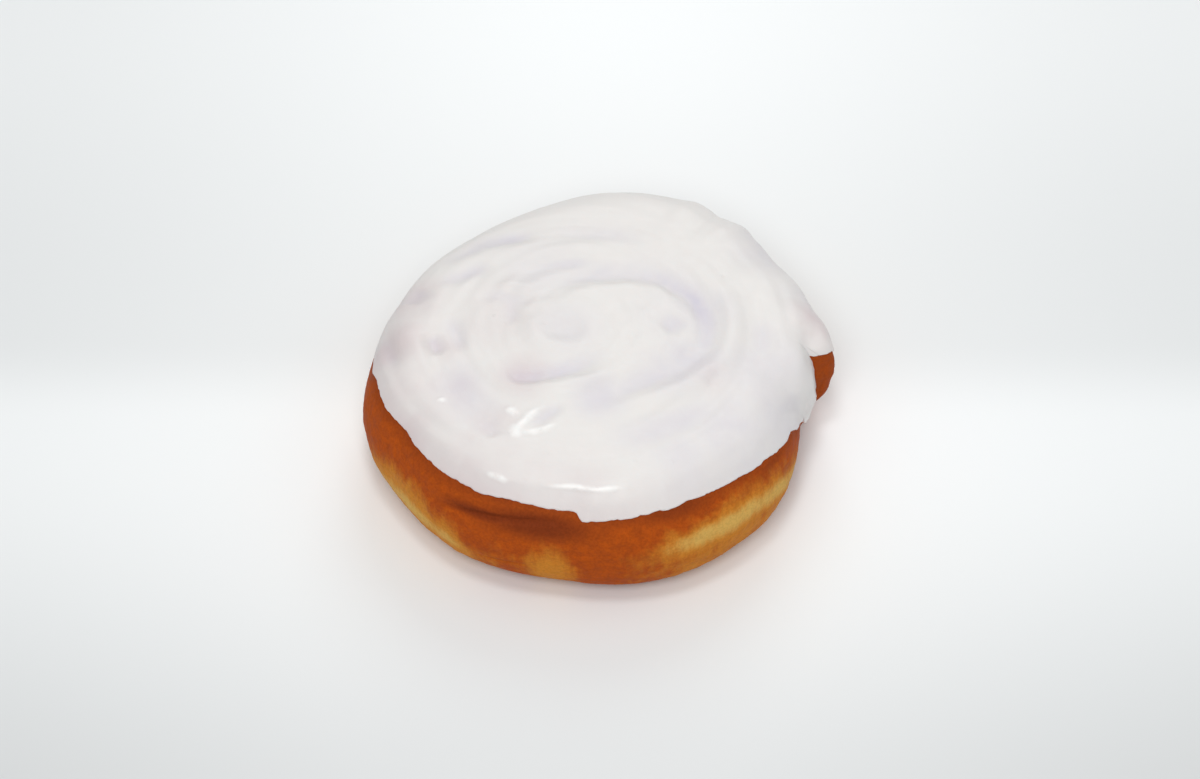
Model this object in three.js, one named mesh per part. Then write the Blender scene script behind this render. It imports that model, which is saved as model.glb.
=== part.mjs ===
import * as THREE from 'three';

// Fried cinnamon roll: one coil of dough under a layer of icing. Millimetres, +Z up.
// The outer turn's blunt tail end points along +X and the coil winds inward counter-clockwise.

// Dough, overall
const HEIGHT = 34;
const HALF_HEIGHT = HEIGHT / 2;
const DOME_RISE = 2.2;
const SIDE_REACH = 15;
const SIDE_EXPONENT = 2.2;
const RIM_RADIUS = 56.7;
const RIM_STEP = 6.4;
const RIM_LINE_DEG = 55;

// Bulges of the rim: azimuth and half width in degrees, height in mm
const RIM_BULGES = [
  { at: 3, half: 10, rise: 0.8 },
  { at: 72, half: 50, rise: 4.1 },
  { at: 122, half: 40, rise: -1.1 },
  { at: 194, half: 16, rise: 0.5 },
  { at: 198, half: 48, rise: 4.6 },
  { at: 235, half: 30, rise: 3.4 },
  { at: 289, half: 73, rise: 4.1 },
  { at: 328, half: 26, rise: 1 },
  { at: 345, half: 28, rise: -1.3 },
];

// Rounded corner of the tail end
const TAIL_CORNER = 2.8;
const TAIL_CORNER_DEG = 3.1;

// The tail end is squarer than the rest of the side, its top lies lower and low down it is drawn in
const TAIL_SQUARE_DEG = 18;
const TAIL_SIDE_REACH = 7.3;
const TAIL_SIDE_EXPONENT = 3.6;
const TAIL_SINK = 2.95;
const TAIL_SINK_DEG = 16;
const TAIL_SINK_FROM = 44;
const TAIL_SINK_REACH = 8;
const TAIL_LIFT = 5.6;
const TAIL_LIFT_DEG = 20;
const TAIL_LIFT_FROM = 5;
const TAIL_LIFT_LEVELS = 20;
const TAIL_LEFT_WIDTH = 0.8;

// Line of the fold between the turns, measured along the coil from the tail end
const FOLD_START = 43.9;
const FOLD_PITCH = 13;
const FOLD_HEART_RADIUS = 6;
const FOLD_BULGES = [
  { at: 175, half: 100, rise: 7.5 },
  { at: 505, half: 226, rise: 12 },
  { at: 648, half: 206, rise: -5.7 },
  { at: 653, half: 76, rise: -11.3 },
  { at: 720, half: 197, rise: 12 },
  { at: 915, half: 83, rise: 11.2 },
];
const FOLD_FADE_FROM = 900;
const FOLD_END_DEG = 1100;
const COIL_END_DEG = 1500;
const FOLD_DEPTH = 2.4;
const FOLD_HALF_WIDTH = 3.4;
const FOLD_TURN_SHARE = 0.42;
const UNDERSIDE_FOLD_DEPTH = 1.3;
const UNDERSIDE_FOLD_HALF_WIDTH = 2;

// The innermost turns lie off the middle
const HEART_X = -4;
const HEART_Y = 2;
const HEART_REACH = 38;

// Dimple in the heart of the coil
const DIMPLE_X = -7;
const DIMPLE_Y = 4;
const DIMPLE_REACH = 6;
const DIMPLE_DEPTH = 1.1;

// Crease low on the front left of the side
const CREASE = { at: 241, half: 20, level: 24, levelHalf: 14, depth: 0.8 };

// Icing
const ICING_GAP = 0.3;
const ICING_THICKNESS = 1.5;
const ICING_FOLD_SHARE = 0.62;
const ICING_OUTER_FOLD_SHARE = 0.3;
const ICING_FOLD_FROM = 200;
const ICING_FOLD_FROM_WIDTH = 90;
const ICING_END_DEG = 359.6;
const ICING_SLOPE_GAP = 0.38;
const ICING_FOLD_GAP = 0.6;
const ICING_WAVES = [
  { count: 5.3, height: 0.16, phase: 20 },
  { count: 8.7, height: 0.1, phase: 75 },
];

// Level of the icing's lower edge on the side, in degrees of the side's curve
const EDGE_BACK = 17;
const EDGE_FRONT = 40;
const EDGE_TAIL = 50;
const EDGE_CORNER = -8;
const EDGE_FRONT_FROM = 172;
const EDGE_FRONT_FROM_WIDTH = 24;
const EDGE_FRONT_TO = 314;
const EDGE_FRONT_TO_WIDTH = 42;
const EDGE_TAIL_WIDTH = 8;
const EDGE_WAVES = [
  { count: 9, height: 1.2, phase: 40 },
  { count: 17, height: 0.8, phase: 10 },
];
const EDGE_DRIPS = [
  { at: 266, half: 6, rise: -6 },
  { at: 212, half: 14, rise: -2 },
];

// Places of the mesh lines
const TAIL_COLUMNS = [0, 0.4, 1.4, 3.1, 6, 10];
const COLUMN_STEP = 5.2;
const LAST_COLUMNS = [352, 356, 358.6];
const WALL_CELLS = 10;
const TURN_STATIONS = [0, 0.2, 0.5, 0.8, 1];
const SKIRT_STATIONS = [0, 0.09, 0.3, 0.53, 0.76, 1];
const SKIRT_FILL = [0.4, 0.85, 1, 1, 1, 1];

// Offset that centres the roll on the origin
const PLACE_X = 0.36;
const PLACE_Y = 1.92;

const DEGREE = Math.PI / 180;
const TURN = 360;

// A smooth hump, 1 at the middle and 0 from the half width on
function hump(distance, half) {
  const share = Math.abs(distance) / half;
  return share < 1 ? Math.cos((share * Math.PI) / 2) ** 2 : 0;
}

function smoothStep(value) {
  const share = THREE.MathUtils.clamp(value, 0, 1);
  return share * share * (3 - 2 * share);
}

function sumBulges(bulges, angle) {
  return bulges.reduce((sum, bulge) => sum + bulge.rise * hump(angle - bulge.at, bulge.half), 0);
}

// Radius of the side at its fullest, from the tail end (0) once round to the same place (360)
function rimRadius(angle) {
  const plain = RIM_RADIUS - (RIM_STEP * angle) / TURN + sumBulges(RIM_BULGES, angle);
  const open = THREE.MathUtils.clamp(1 - angle / TAIL_CORNER_DEG, 0, 1);
  return plain - TAIL_CORNER * (1 - Math.sqrt(1 - open * open));
}

// Radius of the fold line at an angle along the coil; it eases in towards the heart's middle
function foldRadius(angle) {
  const plain = FOLD_START - (FOLD_PITCH * angle) / TURN + sumBulges(FOLD_BULGES, angle);
  return plain > FOLD_HEART_RADIUS ? plain : FOLD_HEART_RADIUS * Math.exp(plain / FOLD_HEART_RADIUS - 1);
}

// How much of the fold's depth is left at an angle along the coil
function foldStrength(angle) {
  return 1 - smoothStep((angle - FOLD_FADE_FROM) / (FOLD_END_DEG - FOLD_FADE_FROM));
}

// Place on the plan, with the inner turns drawn towards the heart
function planPoint(angle, radius) {
  const pull = Math.max(0, 1 - radius / HEART_REACH) ** 2;
  return {
    x: HEART_X * pull + radius * Math.cos(angle * DEGREE),
    y: HEART_Y * pull + radius * Math.sin(angle * DEGREE),
  };
}

// The rounded side at an angle: its radius at the fullest, its reach and how square it is
function sideAt(angle) {
  const square = hump(angle, TAIL_SQUARE_DEG);
  return {
    rim: rimRadius(angle),
    reach: THREE.MathUtils.lerp(SIDE_REACH, TAIL_SIDE_REACH, square),
    exponent: THREE.MathUtils.lerp(SIDE_EXPONENT, TAIL_SIDE_EXPONENT, square),
  };
}

// How far the side has dropped from the top at a radius
function sideDrop(side, radius) {
  const share = THREE.MathUtils.clamp((radius - side.rim + side.reach) / side.reach, 0, 1);
  return HALF_HEIGHT * (1 - (1 - share ** side.exponent) ** (1 / side.exponent));
}

// How far the side is drawn in at a level near the tail end
function tailLift(angle, level) {
  const near = hump(angle, TAIL_LIFT_DEG);
  const lift = TAIL_LIFT * near * smoothStep((TAIL_LIFT_FROM - level) / TAIL_LIFT_LEVELS);
  return near > 0 ? Math.min(lift, rimRadius(angle) - rimRadius(TURN) - TAIL_LEFT_WIDTH) : 0;
}

// How far the top lies lower at the tail end and on the turn beside it
function tailSink(angle, radius, height) {
  const near = hump(angle, TAIL_SINK_DEG) + hump(angle - TURN, TAIL_SINK_DEG);
  const high = smoothStep((height - HALF_HEIGHT) / HALF_HEIGHT);
  return TAIL_SINK * near * high * smoothStep((radius - TAIL_SINK_FROM) / TAIL_SINK_REACH);
}

// Rounded valley of a fold at a distance from its line
function foldDrop(distance, halfWidth, depth) {
  const share = Math.min(1, distance / halfWidth);
  return depth * (1 - Math.sin((share * Math.PI) / 2)) ** 1.3;
}

function domeRise(rim, radius) {
  const share = THREE.MathUtils.clamp(radius / rim, 0, 1);
  return DOME_RISE * (1 - share * share) ** 2;
}

// Radius of the line that parts the side from the turns on the top and the underside
function rimLineRadius(side) {
  return side.rim - side.reach + side.reach * Math.cos(RIM_LINE_DEG * DEGREE) ** (2 / side.exponent);
}

// Point on the side at a level of its curve, with an outward offset
function sidePoint(angle, level, offset) {
  const { rim, reach, exponent } = sideAt(angle);
  const cosine = Math.cos(level * DEGREE);
  const sine = Math.sin(level * DEGREE);
  const dent = CREASE.depth * hump(angle - CREASE.at, CREASE.half) * hump(level - CREASE.level, CREASE.levelHalf);
  const out = reach * cosine ** (2 / exponent) - dent - tailLift(angle, level);
  const up = Math.sign(sine) * HALF_HEIGHT * Math.abs(sine) ** (2 / exponent);
  const slopeOut = cosine ** (2 - 2 / exponent) / reach;
  const slopeUp = (Math.sign(sine) * Math.abs(sine) ** (2 - 2 / exponent)) / HALF_HEIGHT;
  const length = Math.hypot(slopeOut, slopeUp);
  const radius = rim - reach + out + (offset * slopeOut) / length;
  const height = HALF_HEIGHT + up + (offset * slopeUp) / length;
  const sunk = height - tailSink(angle, radius, height);
  return new THREE.Vector3(radius * Math.cos(angle * DEGREE), radius * Math.sin(angle * DEGREE), sunk);
}

// Outward slope of the plain rounded body at a radius, as a unit vector (out, up)
function bodyNormal(side, radius) {
  const share = THREE.MathUtils.clamp((radius - side.rim + side.reach) / side.reach, 0, 1);
  const out = share ** (side.exponent - 1) / side.reach;
  const up = (1 - share ** side.exponent) ** (1 - 1 / side.exponent) / HALF_HEIGHT;
  const length = Math.hypot(out, up);
  return { out: out / length, up: up / length };
}

// Place on the plan with the dome and the dimple of the top
function crownRise(rim, radius, plan) {
  const dimple = DIMPLE_DEPTH * hump(Math.hypot(plan.x - DIMPLE_X, plan.y - DIMPLE_Y), DIMPLE_REACH);
  return domeRise(rim, radius) - dimple;
}

// Point of a turn at an angle along the coil; the station runs from its outer fold to its inner one
function turnPoint(angle, station, face) {
  const around = angle > TURN ? angle % TURN : angle;
  const side = sideAt(around);
  const outer = angle > TURN ? foldRadius(angle - TURN) : rimLineRadius(side);
  const inner = foldRadius(angle);
  const radius = THREE.MathUtils.lerp(outer, inner, station);
  const halfWidth = Math.min(face.foldHalfWidth, FOLD_TURN_SHARE * (outer - inner));
  const outerDrop = angle > TURN ? foldDrop(outer - radius, halfWidth, face.foldDepth(angle - TURN)) : 0;
  const innerDrop = foldDrop(radius - inner, halfWidth, face.foldDepth(angle));
  const drop = Math.hypot(sideDrop(side, radius), outerDrop, innerDrop);
  const normal = bodyNormal(side, radius);
  const offset = face.offset(angle);
  const isUnderOuterTurn = face.sign < 0 && angle <= TURN;
  const drawnIn = isUnderOuterTurn ? tailLift(angle, -RIM_LINE_DEG) * (1 - station) : 0;
  const plan = planPoint(angle, radius + offset * normal.out - drawnIn);
  const rise = HALF_HEIGHT - drop + offset * normal.up + face.dome * crownRise(side.rim, radius, plan);
  const height = HALF_HEIGHT + face.sign * rise;
  return new THREE.Vector3(plan.x, plan.y, height - tailSink(around, radius, height));
}

// Middle of the innermost turn
function heartPoint(face) {
  const plan = planPoint(0, 0);
  const rise = HALF_HEIGHT + face.offset(COIL_END_DEG) + face.dome * crownRise(RIM_RADIUS, 0, plan);
  return new THREE.Vector3(plan.x, plan.y, HALF_HEIGHT + face.sign * rise);
}

// Level of the icing's lower edge on the side, in degrees of the side's curve
function icingEdge(angle) {
  const frontRise = smoothStep((angle - EDGE_FRONT_FROM) / EDGE_FRONT_FROM_WIDTH);
  const frontFall = smoothStep((EDGE_FRONT_TO + EDGE_FRONT_TO_WIDTH - angle) / EDGE_FRONT_TO_WIDTH);
  const corner = EDGE_BACK + (EDGE_CORNER - EDGE_BACK) * smoothStep((angle - EDGE_FRONT_TO) / EDGE_FRONT_TO_WIDTH);
  const plain = THREE.MathUtils.lerp(corner, EDGE_FRONT, frontRise * frontFall);
  const tail = (EDGE_TAIL - plain) * smoothStep(1 - angle / EDGE_TAIL_WIDTH);
  const waves = EDGE_WAVES.reduce(
    (sum, wave) => sum + wave.height * Math.sin((wave.count * angle + wave.phase) * DEGREE), 0);
  return plain + tail + waves + sumBulges(EDGE_DRIPS, angle);
}

// Share of the fold's depth that still shows on the icing: little on the outer turn, more inside
function icingFoldShare(angle) {
  const inside = smoothStep((angle - ICING_FOLD_FROM) / ICING_FOLD_FROM_WIDTH);
  return THREE.MathUtils.lerp(ICING_OUTER_FOLD_SHARE, ICING_FOLD_SHARE, inside);
}

// Thickness of the icing along the coil
function icingThickness(angle) {
  return ICING_WAVES.reduce(
    (sum, wave) => sum + wave.height * Math.sin((wave.count * angle + wave.phase) * DEGREE), ICING_THICKNESS);
}

// Corners and triangles of one closed body
class Body {
  constructor() {
    this.places = [];
    this.triangles = [];
  }

  point(place) {
    this.places.push(place.x - PLACE_X, place.y - PLACE_Y, place.z);
    return this.places.length / 3 - 1;
  }

  triangle(a, b, c) {
    if (a !== b && b !== c && c !== a) {
      this.triangles.push(a, b, c);
    }
  }

  quad(a, b, c, d) {
    this.triangle(a, b, c);
    this.triangle(a, c, d);
  }

  // Quads between neighbouring lines of corners, facing to the right of the lines' direction
  sheet(lines) {
    for (let i = 0; i + 1 < lines.length; i += 1) {
      for (let j = 0; j + 1 < lines[i].length; j += 1) {
        this.quad(lines[i][j], lines[i + 1][j], lines[i + 1][j + 1], lines[i][j + 1]);
      }
    }
  }

  // The wound turns of one face, from the rim line to the heart; returns the tail end's line
  coil(rimLine, face) {
    const count = rimLine.length - 1;
    const angles = coilAngles();
    const lines = [];
    angles.forEach((angle, i) => {
      const first = i <= count ? rimLine[i] : lines[i - count][lines[0].length - 1];
      const rest = TURN_STATIONS.slice(1).map((station) => {
        const isTailFold = i === 0 && station === 1;
        return isTailFold ? rimLine[count] : this.point(turnPoint(angle, station, face));
      });
      lines.push([first, ...rest]);
    });
    const start = this.triangles.length;
    this.sheet(lines);
    this.heart(lines, count, face);
    if (face.flip) {
      for (let k = start; k < this.triangles.length; k += 3) {
        [this.triangles[k + 1], this.triangles[k + 2]] = [this.triangles[k + 2], this.triangles[k + 1]];
      }
    }
    return lines[0];
  }

  // Closes the last turn around the middle of the heart
  heart(lines, count, face) {
    const last = lines.length - 1;
    const middle = this.point(heartPoint(face));
    const end = lines[last];
    const ring = lines.slice(last - count).map((line) => line[line.length - 1]);
    const spoke = [...end, middle];
    for (let j = 0; j + 1 < spoke.length; j += 1) {
      this.triangle(ring[1], spoke[j + 1], spoke[j]);
    }
    for (let k = 1; k + 1 < ring.length; k += 1) {
      this.triangle(middle, ring[k], ring[k + 1]);
    }
  }

  geometry() {
    const geometry = new THREE.BufferGeometry();
    geometry.setAttribute('position', new THREE.Float32BufferAttribute(this.places, 3));
    geometry.setIndex(this.triangles);
    geometry.computeVertexNormals();
    return geometry;
  }
}

// Angles of the mesh lines in one turn, closer together at the tail end
function turnAngles() {
  const angles = [...TAIL_COLUMNS];
  while (angles[angles.length - 1] + COLUMN_STEP < LAST_COLUMNS[0]) {
    angles.push(angles[angles.length - 1] + COLUMN_STEP);
  }
  return [...angles, ...LAST_COLUMNS];
}

// The same angles repeated along the whole coil
function coilAngles() {
  const turn = turnAngles();
  const angles = [];
  for (let start = 0; start < COIL_END_DEG; start += TURN) {
    angles.push(...turn.map((angle) => start + angle));
  }
  return angles.filter((angle) => angle <= COIL_END_DEG);
}

// Dough: the side, the wound top and underside, and the flat end of the tail
function buildDough() {
  const body = new Body();
  const angles = [...turnAngles(), TURN];
  const wall = angles.map((angle) => Array.from({ length: WALL_CELLS + 1 }, (_, j) => {
    const level = THREE.MathUtils.lerp(-RIM_LINE_DEG, RIM_LINE_DEG, j / WALL_CELLS);
    return body.point(sidePoint(angle, level, 0));
  }));
  body.sheet(wall);
  const none = () => 0;
  const topDepth = (angle) => FOLD_DEPTH * foldStrength(angle);
  const undersideDepth = (angle) => UNDERSIDE_FOLD_DEPTH * foldStrength(angle);
  const top = {
    sign: 1,
    dome: 1,
    foldDepth: topDepth,
    foldHalfWidth: FOLD_HALF_WIDTH,
    offset: none,
  };
  const underside = {
    sign: -1,
    dome: 0,
    foldDepth: undersideDepth,
    foldHalfWidth: UNDERSIDE_FOLD_HALF_WIDTH,
    offset: none,
    flip: true,
  };
  const topEnd = body.coil(wall.map((line) => line[WALL_CELLS]), top);
  const undersideEnd = body.coil(wall.map((line) => line[0]), underside);
  const innerWall = wall[wall.length - 1];
  const outline = [
    ...wall[0],
    ...topEnd.slice(1),
    ...innerWall.slice(0, WALL_CELLS).reverse(),
    ...undersideEnd.slice(1, -1).reverse(),
  ];
  const flat = outline.map((index) => new THREE.Vector2(body.places[3 * index], body.places[3 * index + 2]));
  THREE.ShapeUtils.triangulateShape(flat, []).forEach(([a, b, c]) => {
    body.triangle(outline[a], outline[b], outline[c]);
  });
  return body.geometry();
}

// Icing: an outer and an inner face over the top, joined round the lip
function buildIcing() {
  const body = new Body();
  const angles = [...turnAngles(), TURN];
  const last = angles.length - 1;
  const tailFold = sidePoint(TURN, RIM_LINE_DEG, 0);
  const pinOuter = body.point(tailFold.clone().setZ(tailFold.z + ICING_FOLD_GAP + ICING_THICKNESS));
  const pinInner = body.point(tailFold.clone().setZ(tailFold.z + ICING_FOLD_GAP));
  const skirt = (offsetAt, pin) => angles.map((angle, i) => SKIRT_STATIONS.map((station, q) => {
    if (i === last && station === 1) {
      return pin;
    }
    const around = Math.min(angle, ICING_END_DEG);
    const level = THREE.MathUtils.lerp(icingEdge(around), RIM_LINE_DEG, station);
    return body.point(sidePoint(around, level, offsetAt(around, q)));
  }));
  const outer = skirt((angle, q) => ICING_GAP + icingThickness(angle) * SKIRT_FILL[q], pinOuter);
  const inner = skirt(() => ICING_GAP, pinInner);
  body.sheet(outer);
  body.sheet(inner.map((line) => [...line].reverse()));
  body.sheet(outer.map((line, i) => [inner[i][0], line[0]]));
  const outerFace = {
    sign: 1,
    dome: 1,
    foldDepth: (angle) => FOLD_DEPTH * icingFoldShare(angle) * foldStrength(angle),
    foldHalfWidth: FOLD_HALF_WIDTH,
    offset: (angle) => ICING_GAP + icingThickness(angle),
  };
  const innerFace = {
    sign: 1,
    dome: 1,
    foldDepth: (angle) => FOLD_DEPTH * foldStrength(angle),
    foldHalfWidth: FOLD_HALF_WIDTH,
    offset: () => ICING_SLOPE_GAP,
    flip: true,
  };
  const outerEnd = body.coil(outer.map((line) => line[line.length - 1]), outerFace);
  const innerEnd = body.coil(inner.map((line) => line[line.length - 1]), innerFace);
  body.sheet([[...inner[0], ...innerEnd.slice(1)], [...outer[0], ...outerEnd.slice(1)]]);
  body.sheet([outer[last], inner[last]]);
  return body.geometry();
}

const doughMaterial = new THREE.MeshStandardMaterial({ color: 0x9e4f24, roughness: 0.7, metalness: 0 });
const icingMaterial = new THREE.MeshStandardMaterial({ color: 0xece6e1, roughness: 0.45, metalness: 0 });

const dough = new THREE.Mesh(buildDough(), doughMaterial);
dough.name = 'dough';

const icing = new THREE.Mesh(buildIcing(), icingMaterial);
icing.name = 'icing';

const group = new THREE.Group();
group.name = 'cinnamon_roll';
group.add(dough, icing);

export default group;
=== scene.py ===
import itertools
import math

import bmesh
import bpy
import numpy as np
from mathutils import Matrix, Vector


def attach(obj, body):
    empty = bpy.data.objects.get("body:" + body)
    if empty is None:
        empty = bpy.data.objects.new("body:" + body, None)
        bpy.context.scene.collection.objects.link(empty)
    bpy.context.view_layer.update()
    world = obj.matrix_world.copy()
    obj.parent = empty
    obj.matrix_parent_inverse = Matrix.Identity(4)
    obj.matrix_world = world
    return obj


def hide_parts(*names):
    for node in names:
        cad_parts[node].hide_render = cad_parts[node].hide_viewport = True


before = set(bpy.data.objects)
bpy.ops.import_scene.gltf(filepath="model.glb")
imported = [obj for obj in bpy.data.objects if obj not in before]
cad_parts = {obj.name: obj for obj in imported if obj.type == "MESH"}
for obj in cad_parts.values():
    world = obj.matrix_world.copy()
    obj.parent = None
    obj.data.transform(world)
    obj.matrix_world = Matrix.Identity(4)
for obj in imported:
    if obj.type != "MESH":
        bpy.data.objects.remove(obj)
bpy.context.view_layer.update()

bl_info = {
    "name": "Fried cinnamon roll",
    "version": (1, 0, 0),
    "blender": (4, 5, 0),
    "location": "3D View > Sidebar > Roll",
    "description": "Builds the coiled dough, its icing and a plain studio round them",
    "category": "Add Mesh",
}

MM = 0.001
TURN = 360.0

# Offset that centres the roll on the origin, as in the solids
PLACE = np.array([0.36, 1.92, 0.0])

# Bulges of the rim: azimuth and half width in degrees, height in millimetres
RIM_BULGES = (
    (3, 10, 0.8),
    (72, 50, 4.1),
    (122, 40, -1.1),
    (194, 16, 0.5),
    (198, 48, 4.6),
    (235, 30, 3.4),
    (289, 73, 4.1),
    (328, 26, 1.0),
    (345, 28, -1.3),
)

# Rim at the tail end, how much it loses in one turn, and the rounded corner of the tail end
RIM_RADIUS = 56.7
RIM_STEP = 6.4
TAIL_CORNER = 2.8
TAIL_CORNER_DEG = 3.1

# Low down the tail end is drawn in towards the inner turn: depth, half angle, the levels over which
# it grows, the level where it starts, and the least width that the turn keeps
TAIL_LIFT = 5.6
TAIL_LIFT_DEG = 20.0
TAIL_LIFT_LEVEL = 20.0
TAIL_LIFT_FROM = 5.0
TAIL_LEFT_WIDTH = 0.8

# The tail end is squarer than the rest, and its top lies lower
TAIL_SIDE_REACH = 7.3
TAIL_SIDE_EXPONENT = 3.6
TAIL_SQUARE_DEG = 18.0
TAIL_SINK = 2.95
TAIL_SINK_DEG = 16.0
TAIL_SINK_FROM = 44.0
TAIL_SINK_REACH = 8.0

# The rounded side, the level where it meets the turns, the level of the top, and the dome
HALF_HEIGHT = 17.0
SIDE_REACH = 15.0
SIDE_EXPONENT = 2.2
RIM_LINE_DEG = 55.0
TOP_LEVEL = 90.0
DOME_RISE = 2.2
DOME_RADIUS = 55.0

# Fold between the turns, measured along the coil from the tail end: its line, where it fades out, its
# depth and shape across, the share of a turn that it may take, and how it starts at the tail end
FOLD_START = 43.9
FOLD_PITCH = 13.0
FOLD_HEART_RADIUS = 6.0
FOLD_BULGES = (
    (175, 100, 7.5),
    (505, 226, 12),
    (648, 206, -5.7),
    (653, 76, -11.3),
    (720, 197, 12),
    (915, 83, 11.2),
)
FOLD_FADE_FROM = 900.0
FOLD_END_DEG = 1100.0
FOLD_TURNS = 4
FOLD_DEPTH = 2.4
FOLD_HALF_WIDTH = 3.4
FOLD_LEAST_HALF_WIDTH = 0.3
FOLD_SHARPNESS = 1.3
FOLD_TURN_SHARE = 0.42
FOLD_TAIL_DEG = 40.0
UNDERSIDE_FOLD_SHARE = 0.54
UNDERSIDE_FOLD_HALF_WIDTH = 2.0

# Half width of the folds where icing has filled them, and where along the coil they set in
ICED_FOLD_HALF_WIDTH = 8.0
ICED_FOLD_FROM = 90.0
ICED_FOLD_RAMP = 120.0

# The innermost turns lie off the middle, with a dimple in the heart
HEART = np.array([-4.0, 2.0])
HEART_REACH = 38.0
DIMPLE = np.array([-8.0, 0.5])
DIMPLE_REACH = 6.0
DIMPLE_DEPTH = 0.35

# Mesh: share of the rings inside the turn at the tail end, how far out they reach, their blend with
# the plain ones, and the columns, bulge and fullness of the end face
INNER_RINGS = 0.84
INNER_RING_REACH = 0.92
INNER_RING_BLEND = 30.0
END_FACE_COLUMNS = 16
END_FACE_BULGE = 0.14
END_FACE_FULLNESS = 0.8

# Columns round the roll, closer together at the tail end: from and to in degrees, count
FIRST_COLUMNS = ((0, 1, 10), (1, 9, 28))
LAST_COLUMNS = ((350, 358.6, 18), (358.6, TURN, 23))

# Rows and columns of the two meshes
DOUGH_COLUMNS = 480
DOUGH_SIDE_ROWS = 90
DOUGH_RINGS = 34
ICING_COLUMNS = 460
ICING_SKIRT_ROWS = 30
ICING_RINGS = 112
ICING_INNER_ROWS = (0, 6, 12, 18, 24, 30, 40, 55, 75, 100, -1)

# Shortest length that counts, distance within which corners are joined, thinnest face that is kept,
# and how often the outward directions are evened out
TINY = 1e-9
WELD_DISTANCE = 0.004 * MM
THINNEST_FACE = 0.001 * MM
NORMAL_PASSES = 2

# Table of the noise: cells each way, and the share of it at which the origin lies
NOISE_CELLS = 48
NOISE_SHIFT = 0.37

# Creases on the side: angle, half angle, level, half level, rise of the level, depth; their fullness
SIDE_CREASES = (
    (243, 20, 28, 5.5, 9.0, 0.9),
    (245, 8, -14, 2.6, 3.0, 0.35),
    (299, 14, 27, 3.5, -4.0, 0.25),
    (95, 24, -8, 4.0, 6.0, 0.5),
    (160, 15, 2, 3.0, -5.0, 0.4),
)
CREASE_FULLNESS = 0.6

# Lumps and wrinkles of the crust: width in millimetres, share of the height, seed
LUMPS = ((13, 1.0, 3), (6, 0.5, 5))
WRINKLES = ((1.9, 1.0, 7), (0.9, 0.7, 11))

# The crust is rough from low down to a little above the icing's edge: levels, each with its ramp
ROUGH_FROM = -80.0
ROUGH_RAMP = 30.0
ROUGH_PAST_EDGE = 12.0
ROUGH_END_RAMP = 8.0

# Lower edge of the icing: azimuth and level on the side's curve, in degrees
EDGE_LEVELS = (
    (0, 53),
    (1, 49),
    (2, 45),
    (3, 37),
    (4, 30),
    (6, 20),
    (9, 14),
    (30, 15),
    (60, 15),
    (100, 19),
    (140, 16),
    (170, 20),
    (182, 32),
    (190, 43),
    (198, 45),
    (205, 48),
    (217, 46),
    (227, 46.5),
    (241, 47.5),
    (255, 46.5),
    (263.5, 46),
    (265.5, 38),
    (275, 41),
    (285, 43.5),
    (295, 46),
    (308, 43.5),
    (318, 40),
    (325, 36),
    (332, 30),
    (341, 15),
    (346, 4),
    (350, -4),
    (354, -6),
    (359.1, -7),
    (359.4, 51),
    (360, 53),
)

# Ragged edge of the icing: width in millimetres, height in degrees, seed; the level where the noise is
# read, and how far from the tail end it sets in
EDGE_NOISE = ((6, 1.2, 21), (2.2, 0.9, 22), (0.8, 0.9, 23))
EDGE_NOISE_LEVEL = 30.0
EDGE_NOISE_FROM = 8.0

# Beside the tail end the icing fills the step: its swelling, its squarer side and the turn out over the end
END_SWELLING = 2.0
END_SWELLING_DEG = 18.0
END_SIDE_REACH = 7.0
END_SIDE_EXPONENT = 4.0
END_TURN_DEG = 0.8

# Icing: thickness at its lower edge, width of its lip, and how far from the edge its thickness and
# its relief are full
EDGE_THICKNESS = 0.4
EDGE_LIP = 0.5
EDGE_GROWTH = 9.0
RELIEF_GROWTH = 5.0

# The inner face lies inside the bare dough, and hollows take no more than a share of the thickness
UNDER_ICING = -0.7
DEEPEST_SHARE = 0.7

# Lobes of the icing at the rim: azimuth and half width in degrees, height in millimetres; the radius
# where they start, and their ramp
ICING_LOBES = (
    (64.5, 5, 0.5),
    (57.5, 3, -0.5),
    (50, 5, 0.8),
    (37, 8, -0.8),
    (24, 7, 0.3),
    (349, 18, 0.9),
)
LOBE_FROM = 38.0
LOBE_RAMP = 10.0

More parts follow.
